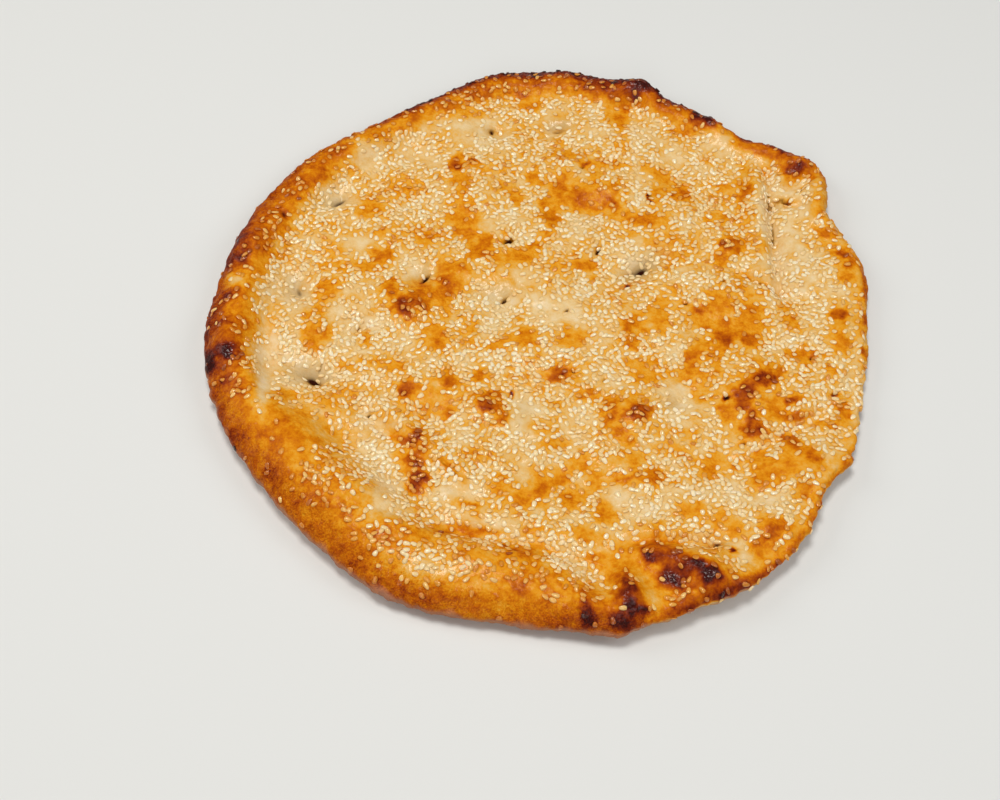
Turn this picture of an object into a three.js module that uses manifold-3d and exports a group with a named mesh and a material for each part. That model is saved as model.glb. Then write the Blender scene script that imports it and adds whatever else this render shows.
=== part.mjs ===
// A sesame naan: one round flatbread of leavened dough, slapped on an oven wall and baked,
// with a puffy rim, a thin docked field, folds, blisters and sesame seeds baked into its top.
// Millimetres, +Z up. The origin is on the table under the middle of the bread,
// +Y points away from the viewer and bearings turn from +X towards +Y.
import * as THREE from 'three';
import { mergeVertices } from 'three/addons/utils/BufferGeometryUtils.js';
import Module from 'manifold-3d';

// Driving dimensions
const FIELD_HEIGHT = 8.2; // top of the flat middle above the table
const EDGE_SHARE = 0.42; // height of the widest line, as a share of the crest height
const UNDER_TURN = 5; // how far in the rounded lower edge runs before it meets the underside
const LIFT_REACH = 48; // how far in from the edge the bread curls up off the table

// Seeds: hulled sesame, one teardrop grain
const SEED_LENGTH = 3.0;
const SEED_WIDTH = 2.0;
const SEED_RISE = 0.9; // of its back over its widest line
const SEED_ROOT = 0.7; // of its underside below that line
const SEED_PEAK = -0.15; // place of its peak, as a share of half its length
const SEED_SET = 0.12; // how far the widest line is pressed into the dough
const SEED_SITES = 400; // sites tried, evenly spread; bare places stay empty
const SEED_MARGIN = 5; // no site lies nearer the edge than this
const SEEDS_ON_EDGE = 0.4; // share of the sites that hold a seed at the margin
const SEEDY_FROM = 30; // how far in from the edge every site holds one
const PUFFED_FROM = 1.5; // height of a blister that starts to be bare
const PUFFED_BARE = 3.5; // height of a blister that is as bare as it gets
const BARENESS = 0.8; // share of the sites that such a blister leaves empty
const SEED_JITTER = 3.0;
const SEED_DRAW = 20417; // start of the random draw
const ABOVE = 100; // a height that is clear of the bread

// Crust
const CRUST_COLOUR = 0xd9a35c;
const CRUST_ROUGHNESS = 0.5;

// Resolution
const FIELD_RINGS = 22;
const SHOULDER_STEPS = 3; // from the crest down to the widest line
const UNDER_STEPS = 2; // from the widest line to the underside
const LIFT_STEPS = 2; // from there to where the underside meets the table

// The plan outline: bearing in degrees and radius.
const OUTLINE = [
  [1, 140.5], [10, 145], [16, 145.9], [23, 144.3], [27, 144.2], [31, 151.7], [35, 157.4],
  [40, 152.6], [44, 150], [48, 145.4], [56, 143.7], [64, 145.8], [68, 146.8], [71.5, 152],
  [76, 148.5], [84, 150.3], [91, 150.6], [101, 149.2], [107, 145], [114, 140.6],
  [124, 137.6], [134, 137.8], [141, 140.3], [150, 140.6], [164, 141.7],
  [175, 142], [191, 145.3], [205, 144.2], [219, 142.7], [235, 144.7],
  [246, 148.1], [265, 146.2], [276, 148.8], [282, 152.8], [286, 150.7],
  [297, 150.8], [308, 150.1], [315, 146.9], [325, 141.9], [331, 142.8], [343, 139.2],
];

// The rim: bearing, crest height, how far in from the edge the crest and the inner foot lie, and
// lift of the edge.
const RIM = [
  [0, 7, 5, 13, 2.5], [15, 8.5, 5, 13, 1.5], [35, 11, 7, 16, 2], [57, 10.5, 8, 16, 1.2],
  [71, 13, 10, 18, 1], [90, 12, 11, 20, 0.5], [110, 11, 10, 18, 0.5], [130, 12, 10, 21, 0.5],
  [150, 13.5, 12, 25, 0.5], [180, 14.5, 13, 27, 0.5], [200, 15.5, 14, 30, 0.5],
  [215, 17, 20, 38, 0.5], [235, 17, 23, 44, 0.5], [255, 15, 20, 42, 0.5], [272, 13, 16, 36, 1],
  [283, 11.5, 10, 24, 3], [300, 7.5, 6, 18, 5.5], [320, 5.5, 4.5, 14, 6], [340, 6, 4.5, 13, 4],
];
const RIM_HEIGHT = 1;
const RIM_CREST = 2;
const RIM_WIDTH = 3;
const RIM_LIFT = 4;

// Long low swells of the dough: wave length, direction in degrees, phase in degrees, height.
const SWELLS = [
  [62, 25, 40, 0.55], [47, 110, 200, 0.5], [34, 65, 310, 0.4], [29, 155, 90, 0.35],
];

// Hollows pressed by fingertips: x, y, half length, half width, direction, depth.
const HOLLOWS = [
  [-95, 63, 9, 6, 50, 4], [-107, 11, 8, 6, 100, 3.5], [-96, -36, 11, 7, 160, 4],
  [-79, -9, 7, 6, 0, 2.5], [-53, 19, 8, 7, 30, 3], [43, 29, 12, 6, 45, 4], [-16, 7, 7, 5, 60, 2],
  [-24, 107, 7, 5, 0, 2.2], [6, 111, 12, 4, 5, 2], [70, -1, 10, 7, 20, 1.8], [12, -61, 12, 8, 70, 1.8],
  [58, -41, 9, 6, 60, 2], [-116, -33, 4, 24, 6, 3], [20, 63, 10, 7, 0, 1.6], [-60, 93, 9, 7, 40, 1.8],
];

// Blisters puffed up by steam: x, y, half length, half width, direction, height.
const BLISTERS = [
  [50, -118, 13, 7, 155, 5], [64, -122, 9, 7, 120, 5], [33, -133, 13, 6, 95, 5.5],
  [18, -142, 9, 6, 100, 3.5], [45, 140, 12, 8, 0, 3.5], [77, 118, 9, 6, 140, 3],
  [117, 93, 9, 7, 130, 3], [-131, 29, 12, 8, 75, 3], [-133, -27, 11, 8, 95, 3],
  [-51, -69, 14, 6, 115, 2.6], [88, -44, 17, 7, 75, 2.4], [92, -103, 12, 8, 45, 2.5],
  [-57, -2, 10, 8, 80, 1.8], [82, 43, 10, 6, 75, 1.8], [-40, 21, 14, 6, 50, 1.8],
  [20, 71, 16, 7, 20, 1.6], [-26, -49, 8, 7, 0, 1.8], [36, -51, 10, 7, 130, 1.6],
];

// The plan of a seed in its half length and half width.
const SEED_PLAN = [[1, 0], [0.25, 0.8], [-0.6, 0.9], [-1, 0], [-0.6, -0.9], [0.25, -0.8]];

// Section of a fold, in half widths of its crease.
const FOLD_FADE = 2; // how far it fades out past its ends
const LIP_PLACE = 2; // from the crease to the top of the lip
const LIP_WIDTH = 1.4; // half width of the lip

// Folds: x and y of both ends, half width of the crease, its depth, and height of the lip
// that stands along its left, looking from the first end to the second.
const FOLDS = [
  [104, 21, 103, 85, 3.2, 3.4, 2.4], [104, 68, 115, 69, 3, 2.4, 0.6], [111, 77, 129, 89, 3, 2.4, 0.8],
  [90, 25, 106, 17, 3, 1.8, 0.6], [-72, -54, -34, -87, 3.2, 2.2, 1.2], [-68, -102, -28, -108, 4, 1.8, 0.4],
  [-28, -108, 8, -116, 4, 2.2, 0.8], [88, -66, 114, -48, 3, 1.6, 1.2], [38, -110, 66, -109, 3, 2.6, 0.4],
];

const radians = THREE.MathUtils.degToRad;

// The value in one column of a table of bearings, on a smooth closed curve through its rows.
function atBearing(table, column, bearing) {
  const count = table.length;
  const turn = ((bearing % 360) + 360) % 360;
  let low = count - 1;
  while (low >= 0 && table[low][0] > turn) low -= 1;
  const row = (step) => {
    const index = low + step;
    const laps = Math.floor(index / count);
    const [angle, value] = [table[index - laps * count][0], table[index - laps * count][column]];
    return [angle + 360 * laps, value];
  };
  const [before, start, end, after] = [row(-1), row(0), row(1), row(2)];
  const slope = (a, b) => (b[1] - a[1]) / (b[0] - a[0]);
  const span = end[0] - start[0];
  const share = (turn - start[0]) / span;
  const startSlope = (slope(before, start) + slope(start, end)) / 2;
  const endSlope = (slope(start, end) + slope(end, after)) / 2;
  const [s2, s3] = [share ** 2, share ** 3];
  return (2 * s3 - 3 * s2 + 1) * start[1] + (s3 - 2 * s2 + share) * span * startSlope
    + (3 * s2 - 2 * s3) * end[1] + (s3 - s2) * span * endSlope;
}

// A smooth round bump of height 1 at its middle, with an elliptical foot.
function bump(x, y, [atX, atY, halfLength, halfWidth, direction]) {
  const [cosine, sine] = [Math.cos(radians(direction)), Math.sin(radians(direction))];
  const along = (x - atX) * cosine + (y - atY) * sine;
  const across = (y - atY) * cosine - (x - atX) * sine;
  return Math.exp(-((along / halfLength) ** 2) - (across / halfWidth) ** 2);
}

// A crease that fades out past both its ends, with a lip along its left side.
function fold(x, y, [fromX, fromY, toX, toY, halfWidth, depth, lip]) {
  const length = Math.hypot(toX - fromX, toY - fromY);
  const [alongX, alongY] = [(toX - fromX) / length, (toY - fromY) / length];
  const along = (x - fromX) * alongX + (y - fromY) * alongY;
  const left = (y - fromY) * alongX - (x - fromX) * alongY;
  const past = Math.max(0, -along, along - length);
  const fade = Math.exp(-((past / (FOLD_FADE * halfWidth)) ** 2));
  const crease = depth * Math.exp(-((left / halfWidth) ** 2));
  const ridge = lip * Math.exp(-(((left / halfWidth - LIP_PLACE) / LIP_WIDTH) ** 2));
  return fade * (ridge - crease);
}

// Everything that stands above or below the plain section of field and rim.
function relief(x, y) {
  let height = 0;
  for (const [length, direction, phase, swell] of SWELLS) {
    const along = x * Math.cos(radians(direction)) + y * Math.sin(radians(direction));
    height += swell * Math.sin((2 * Math.PI * along) / length + radians(phase));
  }
  for (const hollow of HOLLOWS) height -= hollow[5] * bump(x, y, hollow);
  for (const blister of BLISTERS) height += blister[5] * bump(x, y, blister);
  for (const crease of FOLDS) height += fold(x, y, crease);
  return height;
}

// How far the underside stands off the table, this far in from the edge.
function liftOff(bearing, inward) {
  const share = THREE.MathUtils.clamp(1 - inward / LIFT_REACH, 0, 1);
  return atBearing(RIM, RIM_LIFT, bearing) * share ** 2;
}

// Height of the upper surface from the middle out to the rim's crest.
function upperHeight(bearing, inward, x, y) {
  const width = atBearing(RIM, RIM_WIDTH, bearing);
  const crest = atBearing(RIM, RIM_CREST, bearing);
  const share = THREE.MathUtils.clamp((inward - crest) / (width - crest), 0, 1);
  const rise = (atBearing(RIM, RIM_HEIGHT, bearing) - FIELD_HEIGHT) * (0.5 + 0.5 * Math.cos(Math.PI * share));
  return FIELD_HEIGHT + rise + liftOff(bearing, inward) + relief(x, y);
}

// A point on a bearing, this far in from the outline.
function planPoint(bearing, inward) {
  const radius = atBearing(OUTLINE, 1, bearing) - inward;
  return [radius * Math.cos(radians(bearing)), radius * Math.sin(radians(bearing))];
}

// A point of the rim's outer side: turn is 90 at the crest, 0 on the widest line, -90 underneath.
function sidePoint(bearing, turn) {
  const crest = atBearing(RIM, RIM_CREST, bearing);
  const widest = EDGE_SHARE * atBearing(RIM, RIM_HEIGHT, bearing) + liftOff(bearing, 0);
  const reach = turn > 0 ? crest : UNDER_TURN;
  const inward = reach * (1 - Math.cos(radians(turn)));
  const [x, y] = planPoint(bearing, inward);
  const end = turn > 0 ? upperHeight(bearing, crest, x, y) : 2 * widest - liftOff(bearing, inward);
  return [x, y, widest + (end - widest) * Math.sin(radians(turn))];
}

// A geometry from corner points and triangles of their numbers.
function facetedGeometry(points, faces) {
  const geometry = new THREE.BufferGeometry();
  geometry.setAttribute('position', new THREE.Float32BufferAttribute(points.flat(), 3));
  geometry.setIndex(faces.flat());
  return geometry;
}

// The bread without its seeds: an upper disc of triangles, the rim's side, and the underside.
function doughGeometry() {
  const points = [];
  const faces = [];
  const sides = 6 * FIELD_RINGS;
  const ringStart = (ring) => (ring ? 3 * ring * (ring - 1) + 1 : 0);

  for (let ring = 0; ring <= FIELD_RINGS; ring += 1) {
    const count = Math.max(1, 6 * ring);
    for (let step = 0; step < count; step += 1) {
      const bearing = (360 * step) / count;
      const crest = atBearing(RIM, RIM_CREST, bearing);
      const edge = atBearing(OUTLINE, 1, bearing);
      const inward = edge - ((edge - crest) * ring) / FIELD_RINGS;
      const [x, y] = planPoint(bearing, inward);
      points.push([x, y, upperHeight(bearing, inward, x, y)]);
    }
  }
  for (let ring = 1; ring <= FIELD_RINGS; ring += 1) {
    const [outer, inner] = [ringStart(ring), ringStart(ring - 1)];
    const [outerCount, innerCount] = [6 * ring, Math.max(1, 6 * (ring - 1))];
    for (let sector = 0; sector < 6; sector += 1) {
      for (let step = 0; step < ring; step += 1) {
        const a = outer + sector * ring + step;
        const b = outer + ((sector * ring + step + 1) % outerCount);
        const c = inner + ((sector * (ring - 1) + step) % innerCount);
        faces.push([c, a, b]);
        if (step < ring - 1) {
          const d = inner + ((sector * (ring - 1) + step + 1) % innerCount);
          faces.push([c, b, d]);
        }
      }
    }
  }

  let previous = ringStart(FIELD_RINGS);
  const addLoop = (pointOf) => {
    const start = points.length;
    for (let step = 0; step < sides; step += 1) points.push(pointOf((360 * step) / sides));
    for (let step = 0; step < sides; step += 1) {
      const next = (step + 1) % sides;
      faces.push([previous + step, start + step, start + next]);
      faces.push([previous + step, start + next, previous + next]);
    }
    previous = start;
  };
  for (let step = 1; step <= SHOULDER_STEPS; step += 1) {
    addLoop((bearing) => sidePoint(bearing, 90 - (90 * step) / SHOULDER_STEPS));
  }
  for (let step = 1; step <= UNDER_STEPS; step += 1) {
    addLoop((bearing) => sidePoint(bearing, (-90 * step) / UNDER_STEPS));
  }
  for (let step = 1; step <= LIFT_STEPS; step += 1) {
    const inward = UNDER_TURN + ((LIFT_REACH - UNDER_TURN) * step) / LIFT_STEPS;
    addLoop((bearing) => [...planPoint(bearing, inward), liftOff(bearing, inward)]);
  }
  points.push([0, 0, 0]);
  for (let step = 0; step < sides; step += 1) {
    faces.push([previous + step, points.length - 1, previous + ((step + 1) % sides)]);
  }

  return facetedGeometry(points, faces);
}

// One seed about its own middle, pointed towards +X: a six-sided plan with one peak above and below.
function seedGeometry() {
  const [half, wide] = [SEED_LENGTH / 2, SEED_WIDTH / 2];
  const points = SEED_PLAN.map(([x, y]) => [x * half, y * wide, 0]);
  points.push([SEED_PEAK * half, 0, SEED_RISE], [SEED_PEAK * half, 0, -SEED_ROOT]);
  const [above, below] = [SEED_PLAN.length, SEED_PLAN.length + 1];
  const faces = [];
  for (let side = 0; side < SEED_PLAN.length; side += 1) {
    const next = (side + 1) % SEED_PLAN.length;
    faces.push([side, next, above], [next, side, below]);
  }
  return facetedGeometry(points, faces);
}

// Random numbers from 0 to 1, the same on every run.
function randomFrom(start) {
  let state = start;
  return () => {
    state = (Math.imul(state, 1664525) + 1013904223) >>> 0;
    return state / 2 ** 32;
  };
}

// The share of sites that hold a seed: few on the outer rim and on the puffed blisters.
function seedShare(x, y, inward) {
  const fromEdge = THREE.MathUtils.smoothstep(inward, SEED_MARGIN, SEEDY_FROM);
  const puffed = Math.max(...BLISTERS.map((blister) => blister[5] * bump(x, y, blister)));
  const bare = BARENESS * THREE.MathUtils.smoothstep(puffed, PUFFED_FROM, PUFFED_BARE);
  return THREE.MathUtils.lerp(SEEDS_ON_EDGE, 1, fromEdge) * (1 - bare);
}

// Places the seeds on a sunflower spiral, which spreads them evenly, each lying on the dough.
function placeSeeds(dough) {
  const random = randomFrom(SEED_DRAW);
  const goldenTurn = 180 * (3 - Math.sqrt(5));
  const ray = new THREE.Raycaster();
  const down = new THREE.Vector3(0, 0, -1);
  const placed = [];
  for (let site = 0; site < SEED_SITES; site += 1) {
    const bearing = (site * goldenTurn) % 360;
    const edge = atBearing(OUTLINE, 1, bearing);
    const radius = (edge - SEED_MARGIN) * Math.sqrt((site + 0.5) / SEED_SITES);
    const x = radius * Math.cos(radians(bearing)) + SEED_JITTER * (random() - 0.5);
    const y = radius * Math.sin(radians(bearing)) + SEED_JITTER * (random() - 0.5);
    const heading = 2 * Math.PI * random();
    if (random() > seedShare(x, y, edge - radius)) continue;
    ray.set(new THREE.Vector3(x, y, ABOVE), down);
    const [hit] = ray.intersectObject(dough);
    const spin = new THREE.Quaternion().setFromAxisAngle(new THREE.Vector3(0, 0, 1), heading);
    const lie = new THREE.Quaternion().setFromUnitVectors(new THREE.Vector3(0, 0, 1), hit.face.normal);
    const centre = hit.point.clone().addScaledVector(hit.face.normal, -SEED_SET);
    placed.push(new THREE.Matrix4().compose(centre, lie.multiply(spin), new THREE.Vector3(1, 1, 1)));
  }
  return placed;
}

// A closed geometry as a solid, and back.
function toSolid(wasm, geometry) {
  const merged = mergeVertices(geometry);
  return new wasm.Manifold(new wasm.Mesh({
    numProp: 3,
    vertProperties: merged.attributes.position.array,
    triVerts: new Uint32Array(merged.index.array),
  }));
}

function toGeometry(solid) {
  const mesh = solid.getMesh();
  const geometry = new THREE.BufferGeometry();
  geometry.setAttribute('position', new THREE.BufferAttribute(mesh.vertProperties, 3));
  geometry.setIndex(new THREE.BufferAttribute(mesh.triVerts, 1));
  return geometry;
}

// The dough with every seed fused to it.
async function breadGeometry() {
  const wasm = await Module();
  wasm.setup();
  const dough = doughGeometry();
  const seed = seedGeometry();
  const seeds = placeSeeds(new THREE.Mesh(dough))
    .map((place) => toSolid(wasm, seed.clone().applyMatrix4(place)));
  return toGeometry(wasm.Manifold.union([toSolid(wasm, dough), ...seeds]));
}

const crust = new THREE.MeshStandardMaterial({ color: CRUST_COLOUR, roughness: CRUST_ROUGHNESS });
const naan = new THREE.Mesh(await breadGeometry(), crust);
naan.name = 'sesame_naan';

const bread = new THREE.Group();
bread.add(naan);

export default bread;
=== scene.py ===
"""A sesame naan: baked crust with its browning, blisters, folds and pits, and sesame seeds by the thousand.

The crust is one fine mesh with the same section, outline and relief as the solid it stands for, plus
finer swells, cracks and docking holes. The seeds are real meshes of true size, one piece a kind,
scattered over the crust by a seeded draw. Shapes are worked out in millimetres and stored in metres.
"""
import math

import bpy
import numpy as np
from mathutils import Matrix, Vector
from mathutils.kdtree import KDTree


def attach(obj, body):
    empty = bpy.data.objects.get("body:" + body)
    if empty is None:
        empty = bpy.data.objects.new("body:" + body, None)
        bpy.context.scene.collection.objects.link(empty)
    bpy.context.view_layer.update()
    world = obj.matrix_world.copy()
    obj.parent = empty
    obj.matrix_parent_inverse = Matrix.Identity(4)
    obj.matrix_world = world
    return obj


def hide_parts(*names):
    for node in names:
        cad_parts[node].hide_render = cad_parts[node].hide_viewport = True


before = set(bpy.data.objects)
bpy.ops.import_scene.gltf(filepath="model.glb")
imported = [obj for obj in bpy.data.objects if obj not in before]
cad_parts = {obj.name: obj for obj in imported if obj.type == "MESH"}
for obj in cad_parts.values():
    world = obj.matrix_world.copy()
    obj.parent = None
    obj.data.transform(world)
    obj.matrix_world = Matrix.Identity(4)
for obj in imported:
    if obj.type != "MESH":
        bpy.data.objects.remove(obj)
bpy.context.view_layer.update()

MM = 0.001

# The photograph's camera in millimetres: its place, its right and its up.
CAMERA_PLACE = (-17.336, -383.318, 502.398)
CAMERA_RIGHT = (0.999337, 0.030059, 0.020548)
CAMERA_UP = (-0.036413, 0.825005, 0.563948)
CAMERA_LENS = 52.137
CAMERA_SENSOR = 36

# Driving dimensions, the same as the solid's.
FIELD_HEIGHT = 8.2  # top of the flat middle above the table
EDGE_SHARE = 0.42  # height of the widest line, as a share of the crest height
UNDER_TURN = 5  # how far in the rounded lower edge runs before it meets the underside
LIFT_REACH = 48  # how far in from the edge the bread curls up off the table
THINNEST = 1.8  # the least thickness that any hollow leaves

# The plan outline: bearing in degrees and radius.
OUTLINE = [
    (1, 140.5), (10, 145), (16, 145.9), (23, 144.3), (27, 144.2), (31, 151.7), (35, 157.4), (40, 152.6),
    (44, 150), (48, 145.4), (56, 143.7), (64, 145.8), (68, 146.8), (71.5, 152), (76, 148.5), (84, 150.3),
    (91, 150.6), (101, 149.2), (107, 145), (114, 140.6), (124, 137.6), (134, 137.8), (141, 140.3),
    (150, 140.6), (164, 141.7), (175, 142), (191, 145.3), (205, 144.2), (219, 142.7), (235, 144.7),
    (246, 148.1), (265, 146.2), (276, 148.8), (282, 152.8), (286, 150.7), (297, 150.8), (308, 150.1),
    (315, 146.9), (325, 141.9), (331, 142.8), (343, 139.2),
]

# The rim: bearing, crest height, how far in from the edge the crest and the inner foot lie, and
# lift of the edge.
RIM = [
    (0, 7, 5, 13, 2.5), (15, 8.5, 5, 13, 1.5), (35, 11, 7, 16, 2), (57, 10.5, 8, 16, 1.2),
    (71, 13, 10, 18, 1), (90, 12, 11, 20, 0.5), (110, 11, 10, 18, 0.5), (130, 12, 10, 21, 0.5),
    (150, 13.5, 12, 25, 0.5), (180, 14.5, 13, 27, 0.5), (200, 15.5, 14, 30, 0.5), (215, 17, 20, 38, 0.5),
    (235, 17, 23, 44, 0.5), (255, 15, 20, 42, 0.5), (272, 13, 16, 36, 1), (283, 11.5, 10, 24, 3),
    (300, 7.5, 6, 18, 5.5), (320, 5.5, 4.5, 14, 6), (340, 6, 4.5, 13, 4),
]
RIM_HEIGHT = 1
RIM_CREST = 2
RIM_WIDTH = 3
RIM_LIFT = 4

# Long low swells of the dough: wave length, direction in degrees, phase in degrees, height.
SWELLS = [(62, 25, 40, 0.55), (47, 110, 200, 0.5), (34, 65, 310, 0.4), (29, 155, 90, 0.35)]

# Hollows pressed by fingertips: x, y, half length, half width, direction, depth.
HOLLOWS = [
    (-95, 63, 9, 6, 50, 4), (-107, 11, 8, 6, 100, 3.5), (-96, -36, 11, 7, 160, 4), (-79, -9, 7, 6, 0, 2.5),
    (-53, 19, 8, 7, 30, 3), (43, 29, 12, 6, 45, 4), (-16, 7, 7, 5, 60, 2), (-24, 107, 7, 5, 0, 2.2),
    (6, 111, 12, 4, 5, 2), (70, -1, 10, 7, 20, 1.8), (12, -61, 12, 8, 70, 1.8), (58, -41, 9, 6, 60, 2),
    (-116, -33, 4, 24, 6, 3), (20, 63, 10, 7, 0, 1.6), (-60, 93, 9, 7, 40, 1.8),
]

# Blisters puffed up by steam: x, y, half length, half width, direction, height.
BLISTERS = [
    (50, -118, 13, 7, 155, 5), (64, -122, 9, 7, 120, 5), (33, -133, 13, 6, 95, 5.5),
    (18, -142, 9, 6, 100, 3.5), (45, 140, 12, 8, 0, 3.5), (77, 118, 9, 6, 140, 3), (117, 93, 9, 7, 130, 3),
    (-131, 29, 12, 8, 75, 3), (-133, -27, 11, 8, 95, 3), (-51, -69, 14, 6, 115, 2.6),
    (88, -44, 17, 7, 75, 2.4), (92, -103, 12, 8, 45, 2.5), (-57, -2, 10, 8, 80, 1.8),
    (82, 43, 10, 6, 75, 1.8), (-40, 21, 14, 6, 50, 1.8), (20, 71, 16, 7, 20, 1.6), (-26, -49, 8, 7, 0, 1.8),
    (36, -51, 10, 7, 130, 1.6),
]

# Section of a fold, in half widths of its crease.
FOLD_FADE = 2  # how far it fades out past its ends
FOLD_LIP_PLACE = 2  # from the crease to the top of the lip
FOLD_LIP_WIDTH = 1.4  # half width of the lip

# Folds: x and y of both ends, half width of the crease, its depth, and height of the lip
# that stands along its left, looking from the first end to the second.
FOLDS = [
    (104, 21, 103, 85, 3.2, 3.4, 2.4), (104, 68, 115, 69, 3, 2.4, 0.6), (111, 77, 129, 89, 3, 2.4, 0.8),
    (90, 25, 106, 17, 3, 1.8, 0.6), (-72, -54, -34, -87, 3.2, 2.2, 1.2), (-68, -102, -28, -108, 4, 1.8, 0.4),
    (-28, -108, 8, -116, 4, 2.2, 0.8), (88, -66, 114, -48, 3, 1.6, 1.2), (38, -110, 66, -109, 3, 2.6, 0.4),
]

# Docking holes torn in the skin: x, y, half length, half width, direction, depth.
PITS = [
    (-96, -36, 4.2, 1.8, 150, 2.6), (-94, 62, 3.8, 1.3, 40, 1.5), (-117, 48, 2.6, 1.3, 120, 1.2),
    (-107, 11, 3, 1.3, 115, 1.2), (-79, -9, 1.6, 1, 110, 1.8), (-52, 19, 3.4, 1, 55, 2.2),
    (-17, 9, 2.6, 0.8, 50, 2), (-16, 41.5, 2.8, 1.7, 30, 3.2), (24, 37.5, 2.6, 1.2, 65, 2.8),
    (43, 29, 3.4, 1.8, 35, 2.4), (-26, 110, 1.6, 1.4, 90, 1.8), (48, 70.5, 1.6, 1.2, 50, 1.2),
    (6, 112.5, 4.4, 0.9, 8, 1.2), (10, 2.5, 1.8, 0.8, 60, 1.8), (37, 18.5, 1.3, 1.1, 90, 1),
    (122, -36.5, 2, 0.9, 30, 1.8), (114, -18, 1.1, 0.9, 45, 1.8), (77, -40, 1.3, 1, 20, 2),
    (13, -29, 1.2, 0.9, 120, 1.8), (26, -33, 1.5, 0.9, 70, 1.4), (-13, -43, 1.2, 0.8, 60, 1.8),
    (-81, -74, 2, 0.8, 165, 1.8), (-71, -54, 1.3, 0.9, 30, 1.8), (69, -110, 1.4, 1.2, 0, 2.2),
    (76, -113, 2, 1.3, 15, 0.8), (82, -63, 1.6, 0.8, 20, 1.6), (62, 9, 2.2, 0.8, 155, 1.4),
    (79, 22, 1.1, 0.8, 60, 1.4), (17, 87, 1.6, 0.9, 20, 1.4),
]

# Fine cracks in the skin: x and y of both ends, half width, depth, no lip.
CRACKS = [
    (103.3, 31, 103, 44, 0.8, 1.4, 0), (103, 44, 103.8, 54, 0.8, 1.5, 0),
    (103.8, 54, 103.4, 68, 0.8, 1.6, 0), (103, 69, 102.6, 88, 0.8, 1.6, 0),
    (104, 69.5, 108, 71.2, 1, 1.6, 0), (108, 71.2, 112, 69.7, 1, 1.5, 0),
    (112.5, 72, 120, 79.5, 0.9, 1.6, 0), (120, 79.5, 128, 86.5, 0.9, 1.7, 0),
    (90, 26, 99.5, 19, 0.8, 1.2, 0), (99.5, 19, 107, 19, 0.8, 1.2, 0), (-108, -30, -98, -34.5, 0.8, 1.2, 0),
    (-93, -29, -95, -35, 0.8, 1.1, 0), (-90, -33, -96, -36.5, 0.8, 1, 0), (33, 24, 42, 30, 0.8, 1.1, 0),
    (44, 32, 50, 39, 0.8, 1, 0), (-20, -110, -9, -116.5, 0.8, 0.9, 0), (-40, -77, -31, -85, 0.8, 0.9, 0),
]

# Places where the thin dough looks grey, with painted shade in the hollows: x, y, half length, half width,
# direction, strength.
GREY_AND_SHADED = [
    (43, 29, 12, 4.5, 40, 0.8), (-96, -34, 10, 4.5, 165, 0.7), (-95, 61.5, 5, 3, 45, 0.9),
    (-108, 12, 5, 8, 10, 0.45), (-53, 20, 7, 4.5, 55, 0.3), (-21, 11, 10, 4.5, 5, 0.28),
    (-26, 109, 5, 3.5, 0, 0.35), (6, 114.5, 7, 3.5, 10, 0.5), (-79, -8, 3, 4, 0, 0.3),
    (-8, -50, 4, 8, 0, 0.2), (54, -44, 5, 3.5, 30, 0.25), (69, -110, 4, 3, 0, 0.3), (63, -86, 4, 3, 0, 0.2),
    (105, 69, 4, 3, 0, 0.3),
]

# How far the crust has browned is a level: 0 raw, 0.5 golden, 0.8 dark brown, 1 and over charred.
FIELD_LEVEL = 0.27  # of the plain field
RISE_LEVEL = 0.02  # added for each millimetre that the relief stands up
PALE_LEVEL = 0.14  # taken off in a pale place, and in the painted highlight
PALE_RIM = 0.85  # share of the rim's browning that a pale place, and the painted highlight, takes off
LEVEL_RANGE = (0.04, 0.92)  # what the field and the rim reach without the places below
RIM_BAND = (1.1, 1.8)  # where the rim's browning fades out, in distances of its crest from the edge
OUTER_TURN = 60  # how far down the side its outer browning is full, in degrees from the crest
RIM_CALM = 0.55  # share of the field's patches that the rim lacks
OUTER_CALM = 0.6  # and the same for its side
LIP_LEVEL = 0.18  # of the lifted lip's pale lower edge
UNDER_LEVEL = 0.24  # of the underside
SCORCH_LEVEL = 0.5  # added in its scorched spots
SCORCH_RANGE = (0.25, 1)  # of the noise that makes them

# How brown the rim is: bearing, level added all over, and more on its outer side.
RIM_BROWN = [
    (0, 0.06, 0.1), (15, 0.1, 0.14), (30, 0.1, 0.08), (38, 0.26, 0.28), (46, 0.28, 0.34), (56, 0.26, 0.32),
    (64, 0.34, 0.34), (71, 0.36, 0.4), (82, 0.4, 0.42), (95, 0.4, 0.42), (105, 0.3, 0.4), (120, 0.28, 0.32),
    (135, 0.21, 0.2), (150, 0.32, 0.14), (165, 0.32, 0.16), (180, 0.3, 0.24), (195, 0.32, 0.19),
    (210, 0.27, 0.16), (225, 0.13, 0.21), (240, 0.2, 0.18), (255, 0.18, 0.18), (270, 0.17, 0.17),
    (285, 0.17, 0.24), (300, 0.18, 0.35), (315, 0.1, 0.25), (330, 0.05, 0.22), (345, 0.02, 0.05),
]

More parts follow.
